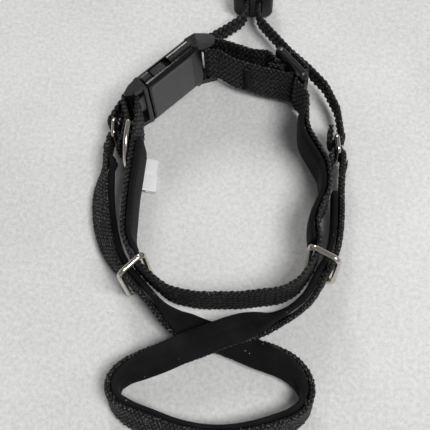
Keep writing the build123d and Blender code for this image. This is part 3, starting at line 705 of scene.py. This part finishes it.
BUCKLE_T, HARD_H = 6.8, STRAP_W + 2 * STRAP_Z
turned = math.radians(BUCKLE_ANGLE)
buckle_along, buckle_across = (math.cos(turned), math.sin(turned)), (-math.sin(turned), math.cos(turned))
# thin grey plates on the socket's two broad faces carry the painted reflection
for name, side in (("socket_inner_face", -1), ("socket_outer_face", 1)):
    spot_u = buckle(-1.0, side * BUCKLE_T / 2)
    plate = rounded_plate(name, (*spot_u, HARD_H / 2), buckle_along, tuple(side * k for k in buckle_across),
                          20.0, 20.6, 0.35, 1.4, reflection_face_finish)
    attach(plate, "socket")

# ---------------------------------------------------------------- loops and rings
# Two wire loops, two small rings, the D-ring and the lead ring are bent from round wire, welded and nickel
# plated; the plating is bright, slightly warm and finely scratched.
nickel, tree, shader, spot = finish_named("bright_nickel")
worn = place(tree, "Group", node_tree=rubbed)
tree.links.new(shades(tree, worn.outputs["Mask"], (0.70, 0.65, 0.57), (0.48, 0.43, 0.36), 0.35, 0.9),
               shader.inputs["Base Color"])
tree.links.new(reckon(tree, "MULTIPLY_ADD", worn.outputs["Mask"], 0.22, 0.06), shader.inputs["Roughness"])
shader.inputs["Metallic"].default_value = 1.0
raised = place(tree, "Bump", {"Height": worn.outputs["Height"], "Strength": 0.08, "Distance": 0.0001})
tree.links.new(raised.outputs["Normal"], shader.inputs["Normal"])
for node in ("left_loop", "right_loop", "left_end_ring", "right_end_ring", "d_ring", "lead_ring"):
    dress(node, nickel)

# ---------------------------------------------------------------- care label
# A strip of white satin ribbon with nothing on it, folded in two with its ends sewn under the left cheek's
# lining, lying low against the table.
label_finish, tree, shader, spot = finish_named("white_satin_ribbon")
threads = place(tree, "TexWave", {"Vector": spot, "Scale": 900.0, "Distortion": 0.4},
                wave_type="BANDS", bands_direction="Y")
tree.links.new(shades(tree, threads.outputs["Fac"], (0.74, 0.74, 0.75), (0.86, 0.86, 0.86)),
               shader.inputs["Base Color"])
shader.inputs["Roughness"].default_value = 0.42
shader.inputs["Sheen Weight"].default_value = 0.3
raised = place(tree, "Bump", {"Height": threads.outputs["Fac"], "Strength": 0.25, "Distance": 0.0001})
tree.links.new(raised.outputs["Normal"], shader.inputs["Normal"])

LABEL_LOW, LABEL_HIGH, LABEL_THICK = 109.9, 123.4, 0.28
ribbon = [(-52.3, 3.2), (-50.4, 2.9), (-48.6, 2.5), (-47.2, 2.1), (-46.3, 1.75), (-46.15, 1.35), (-46.5, 1.0),
          (-47.4, 0.95), (-48.8, 1.15), (-50.2, 1.5)]
ribbon = evenly(through_knots(np.array(ribbon), 8), 0.35)
rows = np.linspace(LABEL_LOW, LABEL_HIGH, 24)
normal = np.gradient(ribbon, axis=0)
normal = np.stack([-normal[:, 1], normal[:, 0]], axis=1) / np.linalg.norm(normal, axis=1)[:, None]
points, faces = [], []
for layer in (-1, 1):
    for y in rows:
        crease = 0.45 * math.exp(-((y - 116.8) / 0.45) ** 2)
        short = 0.9 if y > 116.8 else 1.0
        for (x, z), (nx, nz) in zip(ribbon, normal):
            reach = (x + 52.3) / 6.2
            bend = np.array((-52.3 + (x + 52.3) * short + nx * layer * LABEL_THICK / 2, y,
                             z + nz * layer * LABEL_THICK / 2 + (0.35 * (short < 1) - crease)
                             * reach * (1 - reach) * 2))
            points.append(tuple((bend + PLAN_ZERO) * MM))
count, deep = len(ribbon), len(ribbon) * len(rows)
for j in range(len(rows) - 1):
    for i in range(count - 1):
        a = j * count + i
        faces += [(a, a + 1, a + count + 1, a + count),
                  (deep + a, deep + a + count, deep + a + count + 1, deep + a + 1)]
rim = ([i for i in range(count)] + [j * count + count - 1 for j in range(1, len(rows))]
       + [(len(rows) - 1) * count + i for i in range(count - 2, -1, -1)]
       + [j * count for j in range(len(rows) - 2, 0, -1)])
faces += [(a, deep + a, deep + b, b) for a, b in zip(rim, rim[1:] + rim[:1])]
made = bpy.data.meshes.new("folded_label")
made.from_pydata(points, [], faces)
made.polygons.foreach_set("use_smooth", [True] * len(made.polygons))
made.materials.append(label_finish)
label = bpy.data.objects.new("folded_label", made)
scene.collection.objects.link(label)
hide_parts("care_label")
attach(label, "halter")

# ---------------------------------------------------------------- sewing
# Black bonded thread: a dense zigzag tack across the webbing at each fold that is sewn back on itself.
thread_finish, tree, shader, spot = finish_named("bonded_thread")
ply = place(tree, "TexNoise", {"Vector": spot, "Scale": 3000.0, "Detail": 2.0})
tree.links.new(shades(tree, ply.outputs["Fac"], (0.010, 0.010, 0.011), (0.06, 0.06, 0.064), 0.3, 0.7),
               shader.inputs["Base Color"])
shader.inputs["Roughness"].default_value = 0.5
raised = place(tree, "Bump", {"Height": ply.outputs["Fac"], "Strength": 0.4, "Distance": 0.0001})
tree.links.new(raised.outputs["Normal"], shader.inputs["Normal"])


def thread_mesh(name, runs, radius, finish):
    """Thread as a fine round tube along each run of plan points."""
    points, faces = [], []
    for run in runs:
        run = np.array(run)
        ahead = np.gradient(run, axis=0)
        ahead /= np.linalg.norm(ahead, axis=1)[:, None]
        side = np.cross(ahead, (0.31, 0.52, 0.79))
        side /= np.linalg.norm(side, axis=1)[:, None]
        other = np.cross(ahead, side)
        base = len(points)
        for p, a, b in zip(run, side, other):
            for k in range(6):
                angle = math.pi * k / 3
                points.append(tuple((p + radius * (a * math.cos(angle) + b * math.sin(angle))
                                     + PLAN_ZERO) * MM))
        for i in range(len(run) - 1):
            for k in range(6):
                a, b = base + i * 6 + k, base + i * 6 + (k + 1) % 6
                faces.append((a, b, b + 6, a + 6))
        faces += [tuple(range(base, base + 6))[::-1],
                  tuple(range(base + (len(run) - 1) * 6, base + len(run) * 6))]
    made = bpy.data.meshes.new(name)
    made.from_pydata(points, [], faces)
    made.polygons.foreach_set("use_smooth", [True] * len(made.polygons))
    made.materials.append(finish)
    thread = bpy.data.objects.new(name, made)
    scene.collection.objects.link(thread)
    return thread


STITCH_PITCH = 0.42     # up the tack, from one pass of the thread to the next
STITCH_REACH = 1.25     # from the tack's middle to where the thread turns back
THREAD_RADIUS = 0.24


def zigzag(at, turned, middle_z, high):
    """One bar tack: thread from side to side of the tack, row above row."""
    spot = beside(at, turned)
    steps = int(high / STITCH_PITCH)
    run = []
    for k in range(steps + 1):
        x, y = spot(0.0, STITCH_REACH if k % 2 else -STITCH_REACH)
        run.append((x, y, middle_z - high / 2 + high * k / steps))
    return run


tail_face = tail_x - STRAP_T / 2
left_bar, right_bar = far_bars["left"], far_bars["right"]
nose_left = nose_line[0][0] - NOSE_T - NOSE_GAP / 2
nose_right = nose_line[-1][0] + NOSE_T + NOSE_GAP / 2
tacks = (
    ("plug_bar_tack", (tail_face - 0.2, 124.2), 0, STRAP_W - 6, collar_middle, None),
    ("glide_bar_tack", (-15.72, 154.78), 74.7, STRAP_W - 6, collar_middle, None),
    ("left_nose_tack", (nose_left - 0.2, 123.6), 0, NOSE_W - 3, END_Z, None),
    ("right_nose_tack", (nose_right + 0.2, 123.6), 0, NOSE_W - 3, END_Z, None),
    ("left_control_tack", (left_bar[0] - ctrl_r - CTRL_T / 2 - 0.2, left_bar[1] + 1.6), 0, CTRL_W - 2, END_Z,
     "left"),
    ("right_control_tack", (right_bar[0] + ctrl_r + CTRL_T / 2 + 0.2, right_bar[1] + 1.6), 0, CTRL_W - 2, END_Z,
     "right"),
    ("lead_tack", (lx_right + CTRL_T / 2 + 0.2, lead_y - 11.6), 0, CTRL_W - 2, END_Z, None))
for node, at, turned, high, middle_z, ring in tacks:
    tack = thread_mesh(f"{node}_thread", [zigzag(at, turned, middle_z, high)],
                       THREAD_RADIUS, thread_finish)
    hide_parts(node)
    if ring:
        start = (np.array((*far_bars[ring], END_Z)) + PLAN_ZERO) * MM
        end = (np.array((*FREE_BENDS[ring], END_Z)) + PLAN_ZERO) * MM
        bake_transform(tack)
    else:
        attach(tack, "halter")
